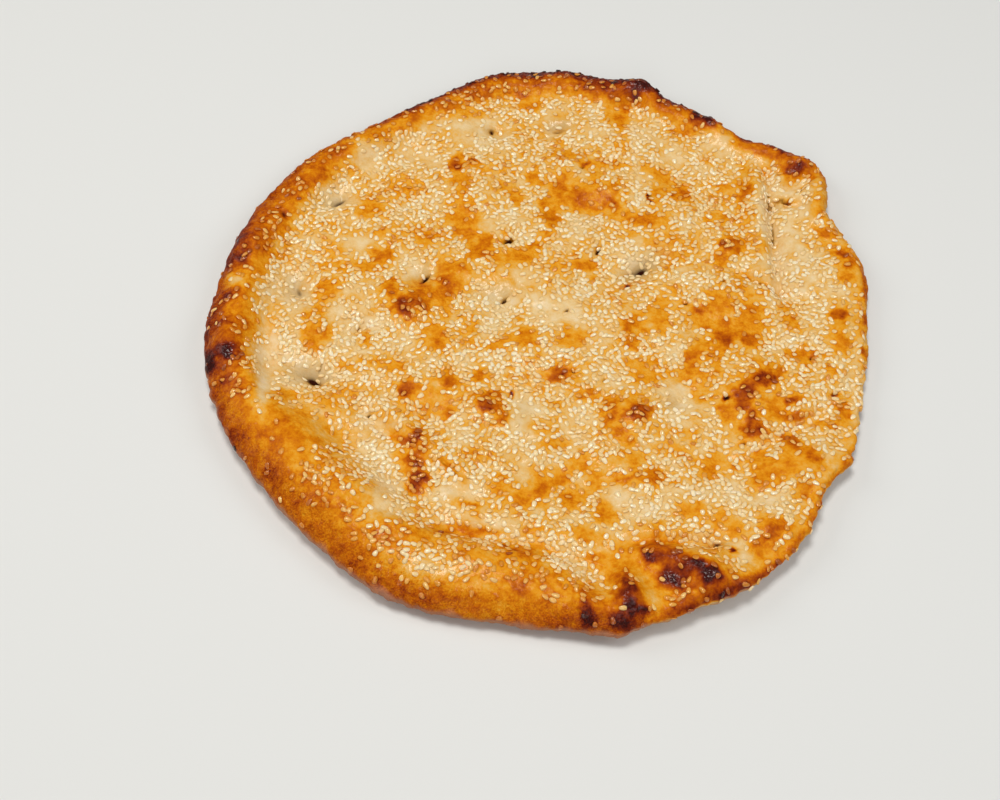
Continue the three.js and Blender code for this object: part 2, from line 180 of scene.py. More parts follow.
# Browned places: x, y, half length, half width, direction, and level, from 0.36 (golden) to 0.86
# (dark brown). They are noted where they show from the camera on one level plane.
BROWNED = [
    (-39, 86, 6, 5.5, 0, 0.7), (-38, 74, 4, 6, 0, 0.46), (-26, 81, 13, 6, 10, 0.36),
    (-78, 57, 6, 7, 0, 0.46), (-66, 67, 7, 5, 20, 0.4), (-51, 42, 8, 6, 20, 0.48), (-38, 55, 8, 9, 0, 0.5),
    (-36, 44, 6, 6, 0, 0.5), (-26, 34, 8, 7, 20, 0.56), (-11, 32, 11, 4.5, 10, 0.5), (-5, 37, 4, 4, 0, 0.54),
    (2, 56, 4.5, 8, 0, 0.6), (0, 45, 4, 5, 0, 0.52), (-4, 78, 5, 6, 0, 0.52), (7, 76, 5, 7, 0, 0.54),
    (14, 68, 10, 8, 0, 0.6), (20, 62, 10, 5, 0, 0.54), (31, 64, 6, 6, 0, 0.64), (34, 72, 5, 8, 0, 0.52),
    (26, 88, 9, 3.5, 0, 0.46), (5, 93, 5, 4, 0, 0.46), (35, 103, 3.5, 6, 0, 0.42), (-20, 75, 4, 4, 0, 0.44),
    (-14, 68, 4, 4, 0, 0.48), (41, 57, 11, 4, 165, 0.52), (53, 82, 7, 7, 0, 0.46), (53, 73, 4, 4, 0, 0.52),
    (63, 71, 3, 7, 15, 0.6), (90, 74, 5, 5, 0, 0.58), (84, 76, 9, 5, 0, 0.42), (92, 90, 4, 7, 0, 0.44),
    (91, 60, 4, 8, 0, 0.42), (78, 58, 7, 5, 0, 0.44), (57, 40, 9, 8, 0, 0.4), (83, 43, 5.5, 6, 40, 0.66),
    (79, 36, 7, 4, 50, 0.56), (95, 46, 4, 8, 0, 0.4), (125, 66, 3, 4.5, 0, 0.46),
    (127, 53, 4.5, 3.5, 0, 0.58), (134, 38, 5, 5.5, 0, 0.62), (135, 27, 5, 5, 0, 0.5),
    (116, 90, 8, 7, 120, 0.72), (-130, 42, 6, 5, 0, 0.64), (-126, 31, 6, 6, 0, 0.66),
    (-133, 22, 6, 4, 0, 0.74), (-136, 6, 6, 5.5, 0, 0.68), (-129, -13, 8, 7, 0, 0.56),
    (-128, -43, 6, 6, 0, 0.66), (-116, 70, 8, 6, 40, 0.66), (-126, 51, 6, 6, 50, 0.7),
    (-95, 10, 4, 6, 0, 0.46), (-96, -13, 5, 12, 0, 0.48), (-94, 30, 6, 6, 0, 0.36),
    (-72, 30, 7, 4, 40, 0.52), (-79, 22, 5, 3, 20, 0.46), (-66, 10, 4.5, 5, 0, 0.56),
    (-58, 1, 8, 8.5, 0, 0.7), (-52, 8, 7, 5, 60, 0.56), (-42, 14, 7, 11, 0, 0.56), (-40, 24, 8, 4, 0, 0.48),
    (-69, -30, 12, 4.5, 0, 0.46), (-44, -46, 11, 7, 0, 0.43), (-84, -47, 11, 5, 0, 0.41),
    (-82, -33, 5, 3, 0, 0.46), (-56, -42, 6.5, 4.5, 0, 0.68), (-105, -47, 4.5, 3, 0, 0.48),
    (-76, -17, 3.5, 3, 0, 0.46), (-45, -15, 5, 7, 0, 0.5), (-32, -9, 4, 5, 0, 0.44), (-8, -13, 5, 6, 0, 0.5),
    (13, -13, 6, 5, 0, 0.48), (41, -4, 7, 4.5, 0, 0.64), (37, -13, 4.5, 4, 0, 0.54), (50, 0, 5, 10, 0, 0.44),
    (19, 28, 5, 3.5, 0, 0.54), (6, 28, 7, 3, 0, 0.42), (44, -28, 8, 6, 0, 0.48), (66, 6, 5, 3, 150, 0.62),
    (75, 8, 9, 7, 30, 0.48), (80, -4, 14, 9, 0, 0.52), (78, -8, 6, 4, 0, 0.66), (87, -8, 6, 4, 0, 0.64),
    (91, 4, 7, 5, 0, 0.5), (73, -14, 8, 4, 0, 0.48), (63, -19, 5, 3, 20, 0.56), (62, -27, 5, 6, 0, 0.5),
    (73, -22, 4, 2.5, 30, 0.56), (68, -38, 6, 5, 0, 0.42), (94, -29, 8, 5, 25, 0.72),
    (86, -38, 6, 8, 0, 0.69), (85, -48, 5, 8, 0, 0.7), (88, -56, 7, 4.5, 20, 0.66), (96, -44, 7, 7, 0, 0.52),
    (77, -48, 4, 4, 0, 0.54), (104, -40, 4.5, 2.5, 0, 0.68), (103, -48, 7, 2.5, 10, 0.56),
    (115, -52, 7, 6, 0, 0.52), (125, -45, 4, 6, 0, 0.52), (110, -18, 8, 5, 0, 0.5),
    (120, -26, 4, 5, 0, 0.44), (107, -1, 4, 5, 0, 0.46), (106, 8, 3.5, 4, 0, 0.42),
    (129, 4, 3.5, 4.5, 0, 0.68), (129, -7, 4.5, 7, 0, 0.54), (-95, -61, 13, 6, 170, 0.45),
    (-78, -92, 8, 12, 30, 0.43), (-86, -73, 8, 6, 0, 0.38), (-53, -67, 6.5, 5, 140, 0.71),
    (-50, -75, 4.5, 5, 0, 0.66), (-50, -87, 5.5, 6, 0, 0.69), (-39, -78, 5, 2.5, 160, 0.6),
    (-40, -36, 5.5, 3.5, 0, 0.64), (-27, -34, 3, 5, 0, 0.5), (-39, -52, 4, 5, 0, 0.52),
    (-23, -48, 7.5, 5.5, 0, 0.69), (-18, -56, 3.5, 5.5, 0, 0.56), (6, -32, 4.5, 4, 0, 0.68),
    (17, -41, 6, 4, 0, 0.5), (27, -54, 6, 6, 0, 0.52), (37, -49, 7.5, 4.5, 0, 0.69),
    (29, -45, 4, 3.5, 0, 0.54), (34, -62, 5, 5, 0, 0.64), (37, -72, 4.5, 5, 0, 0.48),
    (35, -81, 5, 4, 0, 0.62), (46, -80, 5, 3, 0, 0.54), (16, -77, 5, 5, 0, 0.56), (5, -66, 5, 4, 0, 0.42),
    (0, -89, 5, 6, 0, 0.6), (5, -86, 9, 3.5, 0, 0.5), (-8, -92, 4, 4.5, 0, 0.5), (13, -93, 5, 4, 0, 0.54),
    (24, -97, 5, 5.5, 0, 0.52), (15, -107, 8, 2.5, 170, 0.46), (-5, -104, 7, 4, 20, 0.46),
    (-46, -110, 14, 4, 0, 0.54), (-27, -108, 9, 2.5, 175, 0.56), (-8, -118, 10, 4, 0, 0.56),
    (24, -120, 8, 4.5, 0, 0.5), (-27, -73, 6, 4, 0, 0.42), (-15, -84, 4, 4, 0, 0.44),
    (91, -102, 8, 5, 20, 0.62), (88, -113, 5, 6, 30, 0.56), (60, -96, 5, 4, 0, 0.48),
    (76, -104, 4, 3.5, 0, 0.46), (95, -73, 10, 6, 0, 0.5), (101, -63, 3.5, 5, 0, 0.62),
    (110, -67, 5, 3.5, 0, 0.64), (106, -85, 5, 5, 0, 0.5), (88, -82, 6, 5, 0, 0.44),
    (68, -75, 3, 5.5, 0, 0.5), (54, -66, 5, 4, 0, 0.42), (-103, -86, 5, 8, 40, 0.56),
    (-88, -104, 5, 5, 0, 0.6), (-64, -114, 6, 4, 160, 0.58), (-112, -64, 5, 5, 0, 0.6),
    (-107, 76, 9, 11, 135, 0.64), (-98, 89, 8, 6, 45, 0.6), (17, 88, 2.4, 1.6, 20, 0.74),
    (45, 137, 9, 8, 0, 0.8), (36, 124, 4, 9, 0, 0.58), (-11, 143, 14, 6, 0, 0.6), (20, 141, 12, 5, 0, 0.52),
    (-10, 126, 8, 4, 0, 0.44), (-32, 137, 8, 5, 35, 0.6), (75, 118, 8, 6, 150, 0.74),
    (67, 116, 8, 8, 0, 0.5), (105, 101, 14, 4, 165, 0.6), (52, -121, 17, 10, 155, 0.74),
    (32, -135, 7.5, 14, 0, 0.72), (18.5, -141, 7, 8.5, 0, 0.7), (-22, 134, 18, 5, 5, 0.58),
    (10, 136, 13, 5, 0, 0.54), (-27, -97.5, 7, 1.8, 170, 0.52), (140, 18, 2.5, 5, 0, 0.6),
    (138.5, 2, 2, 5, 0, 0.62), (137.5, -17, 2, 4, 0, 0.58), (141.5, 27, 2, 6, 0, 0.66),
    (58, -131, 12, 4, 25, 0.54), (75.5, -113.6, 2.4, 1.7, 15, 0.86), (-7.5, -134, 4, 3, 60, 0.62),
]

# Charred bubbles, the same way, up to 1 (black).
CHARRED = [
    (44, -117, 5.5, 3, 135, 0.88), (51, -125, 7, 3.2, 128, 0.9), (61, -119, 5, 4.2, 150, 0.93),
    (64.5, -125, 6.5, 4.6, 118, 0.95), (33, -130.5, 5.5, 5, 120, 0.88), (36, -137.5, 5.5, 3.6, 115, 0.92),
    (33.5, -145.5, 5, 5.8, 60, 0.95), (18, -139, 5.5, 4.2, 90, 0.88), (19, -145, 4.5, 3.8, 90, 0.92),
    (114, 101.5, 5, 1.6, 170, 0.88), (-132, -25, 7, 4, 165, 0.98), (-140, -33, 3.6, 7, 5, 1),
    (46, 141, 9, 4.5, 165, 0.9), (24, 146, 14, 2.2, 175, 0.84), (-12, 147, 16, 2.6, 5, 0.84),
    (75, 121, 6, 4.2, 145, 0.9), (117, 91, 4.5, 5.5, 0, 0.9), (-133, 24, 5, 3, 0, 0.84),
    (-137, 4, 3, 4, 0, 0.8), (-134, -12, 3, 2.5, 0, 0.78), (85, -50, 2.5, 6, 0, 0.73),
    (48, 69.5, 1.5, 2, 150, 1), (37, 17.8, 1.5, 1.4, 0, 0.88), (-13, -43.5, 1.1, 1.9, 150, 0.94),
    (77, -41, 2, 1.3, 20, 0.92), (122, -38, 2, 1.3, 30, 0.86),
]
NOTED_HEIGHT = 9  # height of the plane that the places are noted on
PLACE_RANGE = (0.06, 0.95)  # share of a place's bump where its browning starts, and where it is full
EDGE_LEVEL = 0.86  # level of a place at its outline and at its core, against its own
CORE_LEVEL = 1.06
HALO_SPREAD = 0.5  # the power of the bump that spreads the golden halo round a place
HALO_LEVEL = 0.4
CHAR_RAGGED = 0.45  # the power of the raggedness that a charred bubble's outline has

# Places where the skin stayed pale, the first also a painted highlight along the rim's inner step: x, y,
# half length, half width, direction, and how bare of seeds.
PALE_AND_HIGHLIT = [
    (-115.5, -45, 3.4, 14, 3, 0.8), (-120, -12, 3.5, 16, 5, 0.3), (98.5, 60, 2.8, 34, 0, 0.6),
    (-37, 108, 15, 10, 0, 0.85), (112, 40, 8, 26, 3, 0.6), (22, 118, 7, 9, 0, 0.1), (4, 116, 8, 6, 0, 0.6),
    (110, 78, 8, 8, 0, 0.6), (-95, 66, 6, 9, 20, 0.85), (-84, 86, 5, 8, 0, 0.85), (-82, 34, 8, 6, 0, 0.6),
    (-56, 20, 12, 8, 30, 0.6), (-99, -34, 12, 6, 160, 0.6), (42, 32, 10, 7, 45, 0.6),
    (-18, 12, 13, 9, 0, 0.6), (8, 3, 8, 8, 0, 0.6), (-8, -53, 5, 9, 0, 0.6), (-8, -77, 6, 8, 0, 0.6),
    (-34, -91, 12, 7, 0, 0.85), (-62, -97, 7, 8, 0, 0.6), (-20, -104, 14, 4, 170, 0.6),
    (82, 108, 5, 9, 0, 0.6), (60, 100, 9, 9, 0, 0.6), (-133, 12, 5, 4.5, 0, 0.6), (-86, -54, 7, 5, 0, 0.6),
    (56, -40, 7, 9, 0, 0.6), (28, -34, 8, 6, 0, 0.6), (40.5, -127, 3, 12, 11, 0.5), (76, -112, 7, 5, 0, 0.6),
    (-108, 10, 6, 12, 10, 0.4), (120, -38, 12, 14, 0, 0), (83, -88, 13, 6, 0, 0), (2, -72, 12, 7, 0, 0),
    (58, -88, 12, 8, 0, 0), (-83, 88, 9, 12, 45, 0.1), (112, -12, 10, 8, 0, 0), (-66, -84, 9, 10, 30, 0),
    (-42, -124, 14, 5, 170, 0),
]

# Places with many or few seeds: x, y, half length, half width, direction, and how far they go
# towards all the seeds (1) or none (-1).
SEEDY = [
    (-36, -119, 17, 6, 172, 0.85), (-87, -85, 8, 8, 0, 0.85), (-25, -72, 12, 8, 150, 0.85),
    (-48, -82, 4.5, 11, 10, 0.85), (-60, -110, 6, 6, 0, 0.85), (-52, -4, 6, 5, 0, 0.85),
    (-73, 88, 5, 9, 0, 0.85), (57, -75, 7, 4, 0, 0.85), (-108, -14, 5, 10, 0, 0.85),
    (-32, 124, 12, 5, 10, 0.85), (20, 118, 5, 8, 0, 0.85), (42, 98, 8, 6, 0, 0.85),
    (-93, -64, 14, 8, 0, -0.6), (-102, 76, 5, 14, 160, -0.6), (3, 117, 8, 5, 0, -0.6),
    (-28, 50, 5, 10, 0, -0.5), (-66, -93, 7, 8, 0, -0.5), (-72, -64, 8, 6, 150, -0.3),
]

# Layers of noise: strength, size of the features, and seed.
FINE_SWELLS = [(0.55, 13, 3), (0.35, 6.5, 4), (0.14, 3.2, 5)]
WANDER_X = [(2, 7, 11), (0.9, 2.6, 12)]  # how far the browned places' outlines stray
WANDER_Y = [(2, 7, 13), (0.9, 2.6, 14)]
PATCHES = [(0.08, 17, 21), (0.11, 8, 22), (0.09, 4, 23)]
RIM_UNEVEN = [(0.18, 9, 24)]
OUTER_UNEVEN = [(0.2, 5, 27)]
RAGGED = [(0.5, 6, 25), (0.35, 2.6, 26)]
SCORCHED = [(1, 16, 31), (0.5, 7, 32)]
UNDER_PATCHES = [(0.12, 24, 33)]
CRACK_UNEVEN = [(0.5, 4, 61)]
TOP_GRAIN = [(0.08, 1.9, 41), (0.06, 4.2, 42)]
SIDE_GRAIN = [(0.42, 1.9, 41), (0.55, 4.2, 42)]
LIP_SCALLOPS = [(1.1, 8, 43), (0.66, 3.6, 44)]  # how far the thin lip's edge wanders in and out
FLOURY_WANDER = [(9, 7, 45), (5, 2.5, 46)]
FLOURY_UNEVEN = [(0.14, 5, 47)]
SEED_CLUMPS = [(0.25, 22, 51), (0.35, 8, 52)]

# Weight of the glaze on pale skin, on browned skin and on char, and what crowded seeds add.
WET_GLAZE = 0.32
MATT_GLAZE = 0.05
CHAR_GLAZE = 0.3
CROWD_GLAZE = 0.4
GLAZE_AND_SHADE_REACH = 1.4  # how far the glaze that gathers round a seed reaches, and with it the painted shade at the seed's foot
GLAZE_AND_SHADE_TINT = 0.17  # how much browner it looks: the glaze's own colour and painted shade together

# Holes and cracks, with the painted shade in them
DARK_DEPTH = 2  # depth from which a pit is painted wholly dark, as shade
CRACK_DARK = 0.45  # how dark a crack is painted, as shade, for each millimetre of its depth
CRACK_DARKEST = 0.9
CRACK_DEPTH = 0.75  # share of its depth that a crack has on average
PIT_SHADE_TINT = 0.35  # how much browner the skin is painted round holes and cracks, as shade

# Colours as seen on screen: the crust's by level, then the painted shade of holes, the grey and painted
# shade of hollows, and the floury edge.
CRUST_COLOURS = [
    (0, (231, 205, 160)), (0.14, (227, 193, 135)), (0.27, (224, 178, 104)), (0.37, (225, 163, 60)),
    (0.46, (224, 148, 26)), (0.54, (212, 126, 8)), (0.62, (196, 103, 5)), (0.72, (170, 76, 5)),
    (0.82, (132, 46, 9)), (0.92, (96, 26, 11)), (1, (60, 16, 11)),
]
PIT_SHADE_COLOUR = (48, 14, 2)
GREY_AND_SHADE_COLOUR = (170, 144, 100)
FLOURY_COLOUR = (186, 134, 106)
FLOURY_SHARE = 0.78  # how much of the lower edge's colour is flour
FLOURY_TURN = (-16, 4)  # where it fades in, in degrees below the widest line

# Noise in the skin: scale for each metre, and detail.
SKIN_PATCHES = (170, 4)
SKIN_GRAIN = (900, 3)
SKIN_BRAN = (1600, 3)
SKIN_SPECKLE = (420, 2)
SKIN_WRINKLES = (420, 3)
SKIN_WAVES = (420, 1)
SKIN_BUBBLES = (520, 1.5)
SEED_STREAKS = (1300, 2)

# How much of the level these are: patches, grain, speckle, and bran on the rim's side.
PATCH_TONE = 0.34
GRAIN_TONE = 0.22
SPECKLE_TONE = 0.3
BRAN_TONE = 0.4
STREAK_TONE = 0.3

# Seeds: hulled sesame, one teardrop grain.
SEED_LENGTH = 2.9
SEED_WIDTH = 2
SEED_THICKNESS = 0.82
SEED_GIRTH = 0.48  # its widest half width, as a share of its width
SEED_ROUNDING = 0.65  # power that makes it blunter than an ellipse
SEED_TAPER = 0.5  # how much it narrows towards its point
SEED_UNEVEN = 0.1  # spread of its sizes
SEED_TILT = 9  # spread of its tilt in degrees
SEED_SUNK = (0.2, 0.2)  # share of its thickness that is sunk at least, and what chance adds
SEED_SET = 0.12  # how far it is pressed in besides

# How they are scattered.
SEED_SPACING = 1.75  # closest distance between two seeds' middles
SEED_TRIES = 60000
SEED_SHARE = 0.84  # share of the most seeds that the field holds
CROWDING = 2.5  # turns the share of seeds wanted into the chance of each try
SEED_DRAW = 20417  # start of the random draw
BARE_RIM = 0.3  # share of them that the rim lacks
BARE_BROWN = 0.72  # and browned skin, and char
BARE_CHAR = 0.6
BARE_HOLLOW = 0.25

# How brown the seeds are: spread of their levels, and what the rim's side adds.
ROAST_SPREAD = 0.07
SIDE_ROAST = 0.13

# Kinds of seed: name, level from and to, colours from pale to deep, weight of the glaze.
SEED_KINDS = [
    ("cream_seeds", -9, 0.28, ((249, 228, 189), (245, 214, 162), (235, 195, 131)), 0.9),
    ("pale_seeds", 0.28, 0.42, ((246, 219, 170), (240, 201, 139), (230, 178, 97)), 0.9),
    ("golden_seeds", 0.42, 0.68, ((238, 190, 112), (228, 160, 62), (210, 130, 28)), 0.9),
    ("toasted_seeds", 0.68, 0.94, ((216, 142, 46), (192, 106, 16), (150, 70, 10)), 0.9),
    ("burnt_seeds", 0.94, 99, ((116, 50, 14), (78, 28, 9), (44, 13, 6)), 0.6),
]

# How many seeds the rim's outer side holds: bearing and share.
SIDE_SEEDS = [
    (0, 0.4), (40, 0.6), (75, 1), (100, 1), (125, 0.6), (150, 0.5), (185, 0.55), (205, 0.35), (235, 0.55),
    (262, 0.6), (280, 0.5), (300, 0.9), (335, 0.8),
]

# Stage, in metres. Lights: name, place, size, power and colour.
FLOOR_SIZE = 6
FLOOR_COLOUR = (0.73, 0.735, 0.715)
WORLD_STRENGTH = 0.13
LIGHTS = [
    ("key", (-0.12, 0.08, 1.46), 0.44, 12, (1, 0.98, 0.95)),
    ("left", (-1.2, 0.3, 0.9), 0.8, 5.5, (1, 0.99, 0.97)),
    ("right", (1.1, -0.1, 1), 0.8, 5, (0.98, 0.99, 1)),
    ("front", (-0.2, -1.3, 1), 1, 6.5, (1, 0.99, 0.98)),
]

# Resolution
RINGS = 144
SHOULDER_STEPS = 16
UNDER_STEPS = 6
BASE_RINGS = 48
BASE_GAP = 1.5  # between the rounded lower edge and the underside's outer ring
SEED_SIDES = 8
SEED_BANDS = 5


# Shape

def at_bearing(table, column, bearing):
    """The value in one column of a table of bearings, on a smooth closed curve through its rows."""
    rows = np.array(table, float)[:, (0, column)]
    angle, value = np.concatenate([rows[-2:] - (360, 0), rows, rows[:2] + (360, 0)]).T
    turn = np.mod(bearing, 360.0)
    low = np.searchsorted(angle, turn, side="right") - 1
    slope = np.diff(value) / np.diff(angle)
    span = angle[low + 1] - angle[low]
    share = (turn - angle[low]) / span
    start_slope = (slope[low - 1] + slope[low]) / 2
    end_slope = (slope[low] + slope[low + 1]) / 2
    s2 = share ** 2
    s3 = share ** 3
    return ((2 * s3 - 3 * s2 + 1) * value[low] + (s3 - 2 * s2 + share) * span * start_slope
            + (3 * s2 - 2 * s3) * value[low + 1] + (s3 - s2) * span * end_slope)


def bump(x, y, place):
    """A smooth round bump of height 1 at its middle, with an elliptical foot."""
    at_x, at_y, half_length, half_width, direction = place[:5]
    cosine = math.cos(math.radians(direction))
    sine = math.sin(math.radians(direction))
    along = (x - at_x) * cosine + (y - at_y) * sine
    across = (y - at_y) * cosine - (x - at_x) * sine
    return np.exp(-((along / half_length) ** 2) - (across / half_width) ** 2)


def fold(x, y, place):
    """A crease that fades out past both its ends, with a lip along its left side."""
    from_x, from_y, to_x, to_y, half_width, depth, lip = place
    length = math.hypot(to_x - from_x, to_y - from_y)
    along_x = (to_x - from_x) / length
    along_y = (to_y - from_y) / length
    along = (x - from_x) * along_x + (y - from_y) * along_y
    left = (y - from_y) * along_x - (x - from_x) * along_y
    past = np.maximum(0, np.maximum(-along, along - length))
    fade = np.exp(-((past / (FOLD_FADE * half_width)) ** 2))
    crease = depth * np.exp(-((left / half_width) ** 2))
    from_lip = left - FOLD_LIP_PLACE * half_width
    ridge = lip * np.exp(-((from_lip / (FOLD_LIP_WIDTH * half_width)) ** 2))
    return fade * (ridge - crease)


def corner_noise(cell, salt):
    """A random number from -1 to 1 for each lattice corner, the same on every run."""
    mask = 0xFFFFFFFF
    mixed = np.full(cell[0].shape, salt * 974711, np.int64)
    for axis, prime in zip(cell, (374761393, 668265263, 2147483629)):
        mixed = (mixed + axis * prime) & mask
        mixed = ((mixed ^ (mixed >> 13)) * 1274126177) & mask
    return (mixed ^ (mixed >> 16)) / 2.0 ** 31 - 1


def noise(points, size, salt):
    """Smooth noise from about -1 to 1 over a plane or a space, with features of one size."""
    scaled = [np.asarray(axis, float) / size + 0.37 * salt for axis in points]
    cell = [np.floor(axis).astype(np.int64) for axis in scaled]
    share = [axis - base for axis, base in zip(scaled, cell)]
    fade = [s * s * s * (s * (6 * s - 15) + 10) for s in share]
    total = 0.0
    for corner in range(2 ** len(points)):
        steps = [(corner >> axis) & 1 for axis in range(len(points))]
        weight = 1.0
        for step, f in zip(steps, fade):
            weight = weight * (f if step else 1 - f)
        total = total + weight * corner_noise([c + step for c, step in zip(cell, steps)], salt)
    return total


def layered(points, layers):
    """The sum of some layers of noise, each given as its strength, its size and its seed."""
    return sum(strength * noise(points, size, salt) for strength, size, salt in layers)


def relief(x, y):
    """What stands above or below the plain section, as in the solid."""
    height = np.zeros_like(x)
    for length, direction, phase, swell in SWELLS:
        along = x * math.cos(math.radians(direction)) + y * math.sin(math.radians(direction))
        height += swell * np.sin(2 * math.pi * along / length + math.radians(phase))
    for hollow in HOLLOWS:
        height -= hollow[5] * bump(x, y, hollow)
    for blister in BLISTERS:
        height += blister[5] * bump(x, y, blister)
    for crease in FOLDS:
        height += fold(x, y, crease)
    return height


def crack_depth(x, y):
    """Depth of the fine cracks at a point, uneven along their length."""
    deepest = -np.min([fold(x, y, crack) for crack in CRACKS], axis=0)
    return deepest * (CRACK_DEPTH + layered((x, y), CRACK_UNEVEN))


def fine_relief(x, y):
    """Smaller swells, docking holes and cracks that only the fine crust has."""
    height = layered((x, y), FINE_SWELLS)
    for pit in PITS:
        height = height - pit[5] * bump(x, y, pit)
    return height - crack_depth(x, y)


def lift_off(bearing, inward):
    """How far the underside stands off the table, this far in from the edge."""
    share = np.clip(1 - inward / LIFT_REACH, 0, 1)
    return at_bearing(RIM, RIM_LIFT, bearing) * share ** 2


def upper_height(bearing, inward, x, y):
    """Height of the upper surface from the middle out to the rim's crest."""
    width = at_bearing(RIM, RIM_WIDTH, bearing)
    crest = at_bearing(RIM, RIM_CREST, bearing)
    share = np.clip((inward - crest) / (width - crest), 0, 1)
    rise = (at_bearing(RIM, RIM_HEIGHT, bearing) - FIELD_HEIGHT) * (0.5 + 0.5 * np.cos(math.pi * share))
    thickness = FIELD_HEIGHT + rise + relief(x, y) + fine_relief(x, y)
    return lift_off(bearing, inward) + np.maximum(thickness, THINNEST)


def plan_point(bearing, inward):
    """A point on a bearing, this far in from the outline."""
    radius = at_bearing(OUTLINE, 1, bearing) - inward
    return radius * np.cos(np.radians(bearing)), radius * np.sin(np.radians(bearing))


def side_point(bearing, turn):
    """A point of the rim's outer side, and how far in it lies: 90 at the crest, 0 on the widest
    line, -90 underneath."""
    crest = at_bearing(RIM, RIM_CREST, bearing)
    widest = EDGE_SHARE * at_bearing(RIM, RIM_HEIGHT, bearing) + lift_off(bearing, 0)
    reach = crest if turn > 0 else UNDER_TURN
    inward = reach * (1 - math.cos(math.radians(turn)))
    x, y = plan_point(bearing, inward)
    end = upper_height(bearing, crest, x, y) if turn > 0 else 2 * widest - lift_off(bearing, inward)
    return x, y, widest + (end - widest) * math.sin(math.radians(turn)), inward


# Mesh building

def disc_faces(rings, first, flip):
    """Triangles of a disc whose ring k has 6k points, numbered from first in the middle."""
    faces = []
    for ring in range(1, rings + 1):
        outer = first + 3 * ring * (ring - 1) + 1
        inner_count = max(1, 6 * (ring - 1))
        inner = outer - inner_count
        step = np.arange(6 * ring)
        near = step - step // ring
        a = outer + step
        b = outer + (step + 1) % (6 * ring)
        c = inner + near % inner_count
        d = inner + (near + 1) % inner_count
        faces.append(np.stack([c, a, b], 1))
        faces.append(np.stack([c, b, d], 1)[step % ring < ring - 1])
    faces = np.concatenate(faces)
    return faces[:, ::-1] if flip else faces


def band_faces(outer, inner, count):
    """Triangles between two loops of the same number of points."""
    step = np.arange(count)
    after = (step + 1) % count
    first = np.stack([outer + step, inner + step, inner + after], 1)
    second = np.stack([outer + step, inner + after, outer + after], 1)
    return np.concatenate([first, second])


def stitch_faces(outer, inner, inner_count, times):
    """Triangles between a loop and one with so many times fewer points."""
    outer_count = inner_count * times
    step = np.arange(outer_count)
    fine = np.stack([outer + step, inner + step // times, outer + (step + 1) % outer_count], 1)
    step = np.arange(inner_count)
    after = (step + 1) % inner_count
    coarse = np.stack([outer + after * times, inner + step, inner + after], 1)
    return np.concatenate([fine, coarse])


def disc_points(rings):
    """Bearing, and share of the way out, of each point of a disc."""
    bearing = [np.zeros(1)]
    share = [np.zeros(1)]
    for ring in range(1, rings + 1):
        bearing.append(360.0 * np.arange(6 * ring) / (6 * ring))
        share.append(np.full(6 * ring, ring / rings))
    return np.concatenate(bearing), np.concatenate(share)


def crust_surface():
    """Points, triangles, and two marks for each point: distance in from the edge, and its turn
    round the rim, 90 on the whole top and -90 on the underside."""
    bearing, share = disc_points(RINGS)
    edge = at_bearing(OUTLINE, 1, bearing)
    inward = edge - (edge - at_bearing(RIM, RIM_CREST, bearing)) * share
    x, y = plan_point(bearing, inward)
    parts = [(x, y, upper_height(bearing, inward, x, y), inward, 90)]
    faces = [disc_faces(RINGS, 0, False)]
    sides = 6 * RINGS
    count = len(x)
    around = 360.0 * np.arange(sides) / sides
    turns = [90 - 90 * step / SHOULDER_STEPS for step in range(1, SHOULDER_STEPS + 1)]
    turns += [-90 * step / UNDER_STEPS for step in range(1, UNDER_STEPS + 1)]
    for turn in turns:
        parts.append((*side_point(around, turn), turn))
        faces.append(band_faces(count - sides, count, sides))
        count += sides

    bearing, share = disc_points(BASE_RINGS)
    inner_edge = UNDER_TURN + BASE_GAP
    inward = at_bearing(OUTLINE, 1, bearing) * (1 - share) + inner_edge * share
    x, y = plan_point(bearing, inward)
    parts.append((x, y, lift_off(bearing, inward), inward, -90))
    faces.append(disc_faces(BASE_RINGS, count, True))
    inner_count = 6 * BASE_RINGS
    inner = count + len(x) - inner_count
    faces.append(stitch_faces(count - sides, inner, inner_count, sides // inner_count))
    x, y, z, inward, turn = np.concatenate([np.stack(np.broadcast_arrays(*part)) for part in parts], 1)
    return np.stack([x, y, z], 1), np.concatenate(faces), inward, turn


def unit(vectors):
    """The same directions at length 1."""
    return vectors / np.linalg.norm(vectors, axis=1, keepdims=True)


def vertex_normals(points, faces):
    """Smooth normals of a triangle mesh."""
    across = np.cross(points[faces[:, 1]] - points[faces[:, 0]], points[faces[:, 2]] - points[faces[:, 0]])
    normals = np.zeros_like(points)
    for corner in range(3):
        np.add.at(normals, faces[:, corner], across)
    return normals / np.maximum(np.linalg.norm(normals, axis=1, keepdims=True), 1e-12)


def smooth_step(value, low, high):
    """0 up to the low value, 1 from the high one on, and a smooth rise between them."""
    share = np.clip((value - low) / (high - low), 0, 1)
    return share * share * (3 - 2 * share)


def mesh_object(name, points, faces, marks, material):
    """A smooth-shaded object from points in millimetres, with a number per point for each mark."""
    mesh = bpy.data.meshes.new(name)
    mesh.from_pydata(points * MM, [], faces, shade_flat=False)
    for mark, values in marks.items():
        mesh.attributes.new(mark, "FLOAT", "POINT").data.foreach_set("value", values.astype(np.float32))
    mesh.materials.append(material)
    piece = bpy.data.objects.new(name, mesh)
    bpy.context.scene.collection.objects.link(piece)
    return piece


# Browning

def shown_at(x, y, z):
    """Where a point of the crust shows from the camera on the plane that the places are noted on."""
    share = (z - NOTED_HEIGHT) / (CAMERA_PLACE[2] - NOTED_HEIGHT)
    return x + (x - CAMERA_PLACE[0]) * share, y + (y - CAMERA_PLACE[1]) * share


def lip_share(bearing):
    """How much of a thin, lifted lip the edge is, from 0 to 1."""
    return smooth_step(at_bearing(RIM, RIM_LIFT, bearing), 2, 5)


